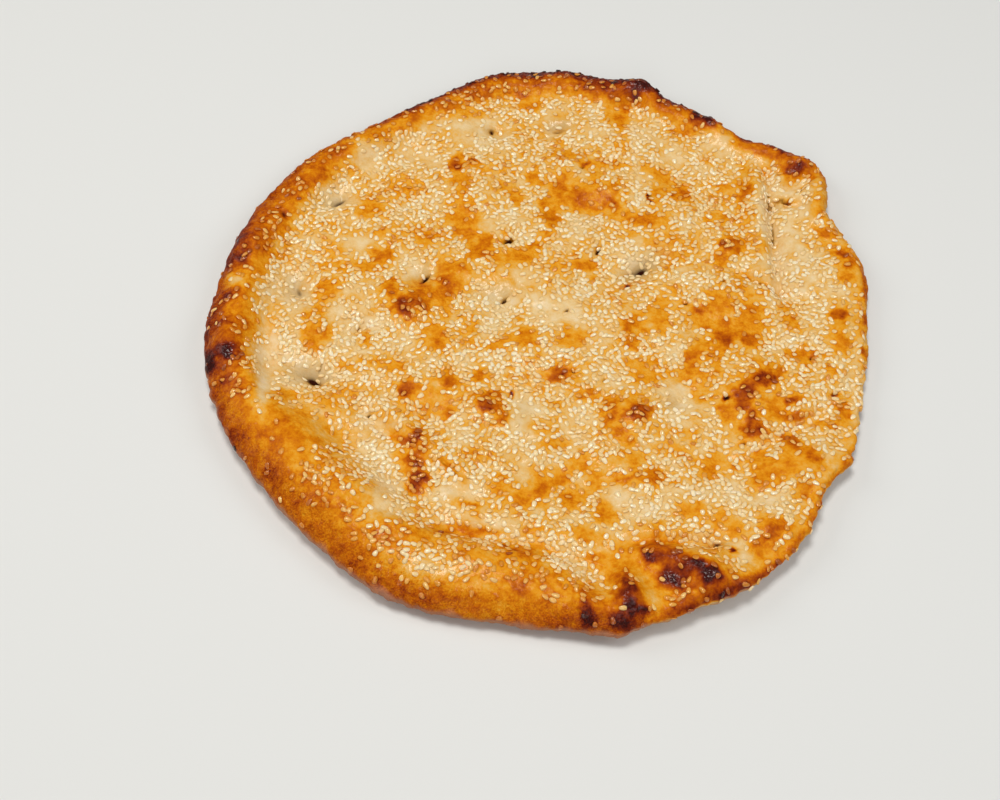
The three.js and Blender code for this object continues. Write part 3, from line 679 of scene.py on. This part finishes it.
def plain_browning(x, y, wander_x, wander_y, bearing, inward, turn):
    """Level of the field and the rim, with their patches and pale places."""
    crest = at_bearing(RIM, RIM_CREST, bearing)
    rim = 1 - smooth_step(inward, RIM_BAND[0] * crest, RIM_BAND[1] * crest)
    outer = smooth_step(90 - turn, 0, OUTER_TURN)
    patches = layered((x, y), PATCHES) * (1 - RIM_CALM * rim) * (1 - OUTER_CALM * outer)
    level = FIELD_LEVEL + patches + RISE_LEVEL * relief(x, y)
    for place in PALE_AND_HIGHLIT:
        level = level - PALE_LEVEL * bump(wander_x, wander_y, place)
        rim = rim * (1 - PALE_RIM * bump(wander_x, wander_y, place))
    all_over = at_bearing(RIM_BROWN, 1, bearing) * (1 + layered((x, y), RIM_UNEVEN))
    on_side = at_bearing(RIM_BROWN, 2, bearing) * outer * (1 + layered((x, y), OUTER_UNEVEN))
    return np.clip(level + rim * all_over + rim * on_side, *LEVEL_RANGE)


def browning(points, inward, turn):
    """Level of browning at each point of the top and the side."""
    x, y, z = points.T
    shown_x, shown_y = shown_at(x, y, z)
    wander_x = shown_x + layered((x, y), WANDER_X)
    wander_y = shown_y + layered((x, y), WANDER_Y)
    bearing = np.degrees(np.arctan2(y, x)) % 360
    level = plain_browning(x, y, wander_x, wander_y, bearing, inward, turn)
    ragged = 1 + layered((x, y), RAGGED)
    for place in BROWNED:
        halo = smooth_step(bump(wander_x, wander_y, place) ** HALO_SPREAD * ragged, *PLACE_RANGE)
        level = np.maximum(level, level + (min(place[5], HALO_LEVEL) - level) * halo)
    for place in BROWNED + CHARRED:
        power = CHAR_RAGGED if place in CHARRED else 1
        mound = bump(wander_x, wander_y, place) * ragged ** power
        share = smooth_step(mound, *PLACE_RANGE)
        core = EDGE_LEVEL + (CORE_LEVEL - EDGE_LEVEL) * np.minimum(mound, 1)
        level = np.maximum(level, level + (place[5] * core - level) * share)
    return level + (LIP_LEVEL - level) * lip_share(bearing) * smooth_step(-turn, -22, 4)


def underside_browning(points):
    """The underside took the heat of the oven floor: pale with scorched spots."""
    place = (points[:, 0], points[:, 1])
    spots = smooth_step(layered(place, SCORCHED), *SCORCH_RANGE)
    return UNDER_LEVEL + layered(place, UNDER_PATCHES) + SCORCH_LEVEL * spots


# Materials

def screen_to_linear(c):
    """One part of a colour from what shows on screen, 0 to 255, to the strength of its light."""
    c = c / 255
    return c / 12.92 if c <= 0.04045 else ((c + 0.055) / 1.055) ** 2.4


def linear_colour(colour):
    """A colour as seen on screen, as what a node takes."""
    return (*[screen_to_linear(c) for c in colour], 1)


class SkinMaterial:
    """A new material, with makers of the nodes that the crust and the seeds share."""

    def __init__(self, name):
        self.material = bpy.data.materials.new(name)
        self.material.use_nodes = True
        self.tree = self.material.node_tree
        self.inputs = self.tree.nodes["Principled BSDF"].inputs
        self.place = self.node("ShaderNodeTexCoord").outputs["Object"]

    def node(self, kind, values=(), **settings):
        """A node with values or links on its sockets."""
        node = self.tree.nodes.new(kind)
        for key, value in settings.items():
            setattr(node, key, value)
        for socket, value in values:
            if isinstance(value, bpy.types.NodeSocket):
                self.tree.links.new(value, node.inputs[socket])
            else:
                node.inputs[socket].default_value = value
        return node

    def link(self, output, socket):
        """Links an output to a socket of the shader."""
        self.tree.links.new(output, self.inputs[socket])

    def mark(self, name):
        """A number that the mesh carries for each point."""
        return self.node("ShaderNodeAttribute", attribute_name=name).outputs["Fac"]

    def noise(self, scale_and_detail, distortion=0):
        """Noise from 0 to 1 over the piece."""
        scale, detail = scale_and_detail
        values = [("Vector", self.place), ("Scale", scale), ("Detail", detail), ("Distortion", distortion)]
        return self.node("ShaderNodeTexNoise", values).outputs["Fac"]

    def sum(self, first, second):
        """Two levels added up."""
        return self.node("ShaderNodeMath", [(0, first), (1, second)], operation="ADD").outputs[0]

    def spread(self, noise, amount):
        """A noise made to run from half the amount below 0 to half of it above."""
        values = [(0, noise), (1, amount), (2, -amount / 2)]
        return self.node("ShaderNodeMath", values, operation="MULTIPLY_ADD").outputs[0]

    def ramp(self, level, stops):
        """Colours by level: stops of position and colour."""
        node = self.node("ShaderNodeValToRGB", [("Fac", level)])
        elements = node.color_ramp.elements
        while len(elements) < len(stops):
            elements.new(0.5)
        for element, (position, colour) in zip(elements, stops):
            element.position = position
            element.color = linear_colour(colour)
        return node.outputs["Color"]

    def mix(self, share, first, colour):
        """The first colour with a share of a second, plain one."""
        values = [(0, share), (6, first), (7, linear_colour(colour))]
        return self.node("ShaderNodeMix", values, data_type="RGBA").outputs[2]

    def bump(self, strength, distance, height, normal=None):
        """A bumped normal, on top of another if one is given."""
        values = [("Strength", strength), ("Distance", distance), ("Height", height)]
        if normal is not None:
            values.append(("Normal", normal))
        return self.node("ShaderNodeBump", values).outputs["Normal"]


def crust_material():
    """Glazed bread skin, coloured by how far it has browned."""
    skin = SkinMaterial("crust_skin")
    side = skin.mark("rim_side")
    patches = skin.noise(SKIN_PATCHES)
    grain = skin.noise(SKIN_GRAIN)
    bran = skin.noise(SKIN_BRAN)

    level = skin.sum(skin.mark("browning"), skin.spread(patches, PATCH_TONE))
    level = skin.sum(level, skin.spread(grain, GRAIN_TONE))
    level = skin.sum(level, skin.spread(skin.noise(SKIN_SPECKLE), SPECKLE_TONE))
    side_bran = [(0, skin.spread(bran, BRAN_TONE)), (1, side)]
    level = skin.sum(level, skin.node("ShaderNodeMath", side_bran, operation="MULTIPLY").outputs[0])
    # Grey of the thin dough, with painted shade in the hollows.
    colour = skin.mix(skin.mark("grey_and_shade"), skin.ramp(level, CRUST_COLOURS), GREY_AND_SHADE_COLOUR)
    # Painted shade: pits and cracks are drawn dark brown, the deeper the darker.
    pit_shade_range = [("Value", skin.mark("pit_shade")), ("From Min", 0.25), ("From Max", 0.75)]
    colour = skin.mix(skin.node("ShaderNodeMapRange", pit_shade_range).outputs["Result"], colour, PIT_SHADE_COLOUR)
    colour = skin.mix(skin.mark("lower_edge"), colour, FLOURY_COLOUR)
    skin.link(colour, "Base Color")

    rough_range = [("Value", patches), ("To Min", 0.36), ("To Max", 0.56)]
    skin.link(skin.node("ShaderNodeMapRange", rough_range).outputs["Result"], "Roughness")
    charred = skin.bump(skin.mark("char"), 0.0009, skin.noise(SKIN_BUBBLES))
    wrinkled = skin.bump(0.6, 0.0008, skin.noise(SKIN_WRINKLES, 0.4), charred)
    grained = skin.bump(0.4, 0.0003, grain, wrinkled)
    skin.link(skin.bump(side, 0.0007, bran, grained), "Normal")
    skin.link(skin.bump(0.5, 0.0008, skin.noise(SKIN_WAVES), charred), "Coat Normal")
    skin.link(skin.mark("gloss"), "Coat Weight")
    skin.inputs["Coat Roughness"].default_value = 0.12
    skin.inputs["Specular IOR Level"].default_value = 0.04
    skin.inputs["Subsurface Weight"].default_value = 0.05
    skin.inputs["Subsurface Radius"].default_value = (1, 0.6, 0.3)
    skin.inputs["Subsurface Scale"].default_value = 0.003
    return skin.material


def seed_material(name, colours, coat):
    """Hulled sesame in a thin glaze; each seed has its own tone."""
    skin = SkinMaterial(name)
    streaks = skin.noise(SEED_STREAKS)
    level = skin.sum(skin.mark("tone"), skin.spread(streaks, STREAK_TONE))
    skin.link(skin.ramp(level, list(zip((0, 0.5, 1), colours))), "Base Color")
    skin.link(skin.bump(0.2, 0.00015, streaks), "Normal")
    skin.inputs["Roughness"].default_value = 0.45
    skin.inputs["Specular IOR Level"].default_value = 0.2
    skin.inputs["Coat Weight"].default_value = coat
    skin.inputs["Coat Roughness"].default_value = 0.1
    skin.inputs["Subsurface Weight"].default_value = 0.3
    skin.inputs["Subsurface Radius"].default_value = (1, 0.7, 0.4)
    skin.inputs["Subsurface Scale"].default_value = 0.0015
    return skin.material


# The crust

def rough_skin(points, faces, turn, side):
    """The points pushed in and out along their normals by the skin's grain."""
    bearing = np.degrees(np.arctan2(points[:, 1], points[:, 0]))
    grain = layered(points.T, TOP_GRAIN) + side * layered(points.T, SIDE_GRAIN)
    grain = grain + lip_share(bearing) * side * layered(points[:, :2].T, LIP_SCALLOPS)
    return points + vertex_normals(points, faces) * (grain * (turn >= -89))[:, None]


def painted_pit_shade(x, y):
    """Painted shade in the pits and cracks: how dark they are drawn at a point, the deeper the darker."""
    pits = np.max([min(1, pit[5] / DARK_DEPTH) * bump(x, y, pit) for pit in PITS], axis=0)
    return np.maximum(pits, np.minimum(CRACK_DARKEST, CRACK_DARK * crack_depth(x, y)))


def glaze_weight(points, turn, brown, pit_shade):
    """How glossy the skin is: pale skin, crowded seeds and char hold the most glaze."""
    on_top = turn > 0
    shown_x, shown_y = shown_at(*points.T)
    crowded = np.max([place[5] * bump(shown_x, shown_y, place) for place in SEEDY], axis=0)
    gloss = MATT_GLAZE + (WET_GLAZE - MATT_GLAZE) * (1 - smooth_step(brown, 0.26, 0.4)) * on_top
    gloss = gloss + CROWD_GLAZE * crowded * (1 - 0.8 * smooth_step(brown, 0.35, 0.5)) * on_top
    gloss = gloss + CHAR_GLAZE * smooth_step(brown, 0.76, 0.9) * smooth_step(turn, 25, 75)
    return gloss * (1 - smooth_step(pit_shade, 0.08, 0.4))


def floury_share(points, turn):
    """How much of its flour the rim's lower edge still shows, with a ragged border."""
    ragged_turn = turn + layered(points.T, FLOURY_WANDER)
    return (FLOURY_SHARE + layered(points.T, FLOURY_UNEVEN)) * smooth_step(-ragged_turn, *FLOURY_TURN)


def make_crust():
    """Makes the crust, and returns the places of the seeds on it."""
    points, faces, inward, turn = crust_surface()
    under = turn < -89
    flat = turn > 89
    side = smooth_step(90 - turn, 8, 50) * (1 - under) * smooth_step(turn, -60, -20)
    bearing = np.degrees(np.arctan2(points[:, 1], points[:, 0]))
    points = rough_skin(points, faces, turn, side)
    brown = np.where(under, underside_browning(points), browning(points, inward, turn))
    seeds = scatter_seeds(points, faces, inward, turn, brown)
    # Glaze pooled round the seeds, and painted shade at their feet.
    glaze = glaze_and_shade_pools(points, seeds[0]) * (turn > 0)
    x, y, _ = points.T
    # Painted shade in the pits and cracks, on the top only.
    pit_shade = painted_pit_shade(x, y) * flat
    # Grey of the thin dough, with painted shade in the hollows.
    grey_and_shade = np.max([place[5] * bump(x, y, place) for place in GREY_AND_SHADED], axis=0)
    grey_and_shade = grey_and_shade * flat * (1 - smooth_step(brown, 0.4, 0.6))
    marks = {
        "gloss": glaze_weight(points, turn, brown, pit_shade),
        # Browning, with painted shade added round holes and cracks, and the glaze pooled round seeds with
        # painted shade at their feet.
        "browning": brown + GLAZE_AND_SHADE_TINT * glaze + PIT_SHADE_TINT * pit_shade * (1 - grey_and_shade),
        "rim_side": side * (1 - 0.75 * lip_share(bearing)),
        "pit_shade": pit_shade,
        "grey_and_shade": grey_and_shade,
        "char": smooth_step(brown, 0.76, 0.88) * ~under,
        "lower_edge": floury_share(points, turn) * ~under,
    }
    crust = mesh_object("naan_crust", points, faces, marks, crust_material())
    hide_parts("sesame_naan")
    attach(crust, "root")
    return seeds


# The seeds

def unit_seed():
    """Points and triangles of one teardrop seed, its point towards +X, of length, width and
    thickness 1 about the origin."""
    points = [(0.5, 0, 0)]
    for band in range(1, SEED_BANDS):
        share = band / SEED_BANDS
        x = 0.5 * math.cos(math.pi * share)
        radius = SEED_GIRTH * math.sin(math.pi * share) ** SEED_ROUNDING * (1 - SEED_TAPER * x)
        for side in range(SEED_SIDES):
            angle = 2 * math.pi * side / SEED_SIDES
            points.append((x, radius * math.cos(angle), radius * math.sin(angle)))
    points.append((-0.5, 0, 0))
    last = len(points) - 1
    side = np.arange(SEED_SIDES)
    after = (side + 1) % SEED_SIDES
    end = last - SEED_SIDES
    faces = [np.stack([0 * side, 1 + side, 1 + after], 1)]
    faces += [band_faces(first, first + SEED_SIDES, SEED_SIDES) for first in range(1, end, SEED_SIDES)]
    faces.append(np.stack([end + side, last + 0 * side, end + after], 1))
    return np.array(points), np.concatenate(faces)


def seed_share(points, inward, turn, brown):
    """How many of the most seeds a place holds, as the chance of each try."""
    x, y, z = points.T
    shown_x, shown_y = shown_at(x, y, z)
    bearing = np.degrees(np.arctan2(y, x)) % 360
    share = SEED_SHARE + layered((x, y), SEED_CLUMPS)
    crest = at_bearing(RIM, RIM_CREST, bearing)
    on_rim = 1 - smooth_step(inward, crest, 2 * crest)
    on_side = smooth_step(90 - turn, 10, 50)
    side_share = at_bearing(SIDE_SEEDS, 1, bearing)
    share = share * (1 - BARE_RIM * on_rim) * (1 - (1 - side_share) * on_side)
    bare = smooth_step(brown, 0.36, 0.48) * (1 - 0.15 * smooth_step(brown, 0.6, 0.7))
    share = share * (1 - BARE_BROWN * (1 - 0.4 * on_rim) * bare)
    share = share * (1 - BARE_CHAR * (1 - on_side) * smooth_step(brown, 0.8, 0.9))
    for place in SEEDY:
        wanted = 1 if place[5] > 0 else 0
        share = share + (wanted - share) * abs(place[5]) * bump(shown_x, shown_y, place)
    for place in PALE_AND_HIGHLIT:
        share = share * (1 - place[5] * bump(shown_x, shown_y, place))
    for place in HOLLOWS:
        share = share * (1 - BARE_HOLLOW * bump(x, y, place))
    for place in PITS:
        share = share * (1 - bump(x, y, place))
    return np.clip(share, 0, 1) ** CROWDING


def spaced_out(middle, wanted):
    """The tries that are kept: each one wanted that lies clear of those kept before it."""
    kept = []
    grid = {}
    around = [(i, j, k) for i in (-1, 0, 1) for j in (-1, 0, 1) for k in (-1, 0, 1)]
    for index in np.flatnonzero(wanted):
        place = middle[index]
        cell = tuple((place // SEED_SPACING).astype(int))
        cells = [(cell[0] + i, cell[1] + j, cell[2] + k) for i, j, k in around]
        near = [other for group in cells for other in grid.get(group, ())]
        if any(((middle[other] - place) ** 2).sum() < SEED_SPACING ** 2 for other in near):
            continue
        grid.setdefault(cell, []).append(index)
        kept.append(index)
    return np.array(kept)


def scatter_seeds(points, faces, inward, turn, brown):
    """For each seed its middle, its normal, and the level and turn there, and the random draw."""
    random = np.random.default_rng(SEED_DRAW)
    normals = vertex_normals(points, faces)
    usable = faces[(turn[faces] > -5).all(axis=1)]
    corners = points[usable]
    area = np.linalg.norm(np.cross(corners[:, 1] - corners[:, 0], corners[:, 2] - corners[:, 0]), axis=1)
    chosen = random.choice(len(usable), SEED_TRIES, p=area / area.sum())
    first = np.sqrt(random.random(SEED_TRIES))
    second = random.random(SEED_TRIES)
    weights = np.stack([1 - first, first * (1 - second), first * second], 1)

    def blend(values):
        picked = values[usable[chosen]]
        return np.einsum("ij,ij...->i...", weights, picked)

    middle = blend(points)
    normal = unit(blend(normals))
    seed_turn = blend(turn)
    level = blend(brown)
    wanted = random.random(SEED_TRIES) < seed_share(middle, blend(inward), seed_turn, level)
    kept = spaced_out(middle, wanted)
    return middle[kept], normal[kept], level[kept], seed_turn[kept], random


def glaze_and_shade_pools(points, middles):
    """How much glaze, with painted shade at the seeds' feet, has gathered at each point, from 0 to 1: it
    pools round every seed.
    """
    tree = KDTree(len(middles))
    for index, middle in enumerate(middles):
        tree.insert(middle, index)
    tree.balance()
    distance = np.array([tree.find(point)[2] for point in points])
    return np.exp(-((distance / GLAZE_AND_SHADE_REACH) ** 2))


def make_seeds(middle, normal, level, turn, random):
    """Lays a seed at each place, heading anywhere, and joins those of one kind."""
    count = len(middle)
    heading = 2 * math.pi * random.random(count)
    tilt = np.radians(SEED_TILT) * random.standard_normal((count, 2))
    size = 1 + SEED_UNEVEN * random.standard_normal((count, 3)).clip(-2, 2)
    sunk = SEED_SUNK[0] + SEED_SUNK[1] * random.random(count)
    tone = random.random(count)
    roast = level + ROAST_SPREAD * random.standard_normal(count)
    roast = roast + SIDE_ROAST * smooth_step(90 - turn, 30, 80)
    reference = np.where(np.abs(normal[:, :1]) > 0.9, [[0.0, 1.0, 0.0]], [[1.0, 0.0, 0.0]])
    side = unit(np.cross(normal, reference))
    front = np.cross(side, normal)
    along = np.cos(heading)[:, None] * front + np.sin(heading)[:, None] * side
    up = unit(normal + tilt[:, :1] * front + tilt[:, 1:] * side)
    along = unit(along - (along * up).sum(1, keepdims=True) * up)
    axes = np.stack([along, np.cross(up, along), up], 1)
    size_mm = size * (SEED_LENGTH, SEED_WIDTH, SEED_THICKNESS)
    centre = middle + normal * (size_mm[:, 2] * (0.5 - sunk) - SEED_SET)[:, None]
    shape, shape_faces = unit_seed()
    for name, low, high, colours, coat in SEED_KINDS:
        chosen = np.flatnonzero((roast >= low) & (roast < high))
        local = shape * size_mm[chosen][:, None]
        placed = centre[chosen][:, None] + local @ axes[chosen]
        all_faces = shape_faces[None] + (np.arange(len(chosen)) * len(shape))[:, None, None]
        marks = {"tone": np.repeat(tone[chosen], len(shape))}
        material = seed_material(name + "_skin", colours, coat)
        piece = mesh_object(name, placed.reshape(-1, 3), all_faces.reshape(-1, 3), marks, material)
        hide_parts("sesame_naan")
        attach(piece, "root")


# Stage

def make_floor():
    """A wide plain floor under the bread."""
    bpy.ops.mesh.primitive_plane_add(size=FLOOR_SIZE, location=(0, 0, 0))
    floor = bpy.context.object
    floor.name = "floor"
    paper = bpy.data.materials.new("floor_paper")
    paper.use_nodes = True
    inputs = paper.node_tree.nodes["Principled BSDF"].inputs
    inputs["Base Color"].default_value = (*FLOOR_COLOUR, 1)
    inputs["Roughness"].default_value = 0.8
    inputs["Specular IOR Level"].default_value = 0.1
    floor.data.materials.append(paper)


def make_lights():
    """Square soft lights that point at the bread, and an even light from all round."""
    for name, place, size, power, colour in LIGHTS:
        lamp = bpy.data.lights.new(name, "AREA")
        lamp.size = size
        lamp.energy = power
        lamp.color = colour
        holder = bpy.data.objects.new(name, lamp)
        holder.location = place
        holder.rotation_euler = Vector(place).to_track_quat("Z", "Y").to_euler()
        bpy.context.scene.collection.objects.link(holder)
    world = bpy.data.worlds.new("studio")
    bpy.context.scene.world = world
    world.use_nodes = True
    background = world.node_tree.nodes["Background"]
    background.inputs["Color"].default_value = (1, 1, 1, 1)
    background.inputs["Strength"].default_value = WORLD_STRENGTH
    bpy.context.scene.view_settings.view_transform = "Standard"


def make_camera():
    """The camera that took the photograph."""
    camera = bpy.data.cameras.new("camera")
    camera.sensor_fit = "HORIZONTAL"
    camera.sensor_width = CAMERA_SENSOR
    camera.lens = CAMERA_LENS
    holder = bpy.data.objects.new("camera", camera)
    right = Vector(CAMERA_RIGHT)
    up = Vector(CAMERA_UP)
    turn = Matrix((right, up, right.cross(up))).transposed().to_4x4()
    holder.matrix_world = Matrix.Translation(Vector(CAMERA_PLACE) * MM) @ turn
    bpy.context.scene.collection.objects.link(holder)
    bpy.context.scene.camera = holder


make_camera()
make_floor()
make_lights()
make_seeds(*make_crust())
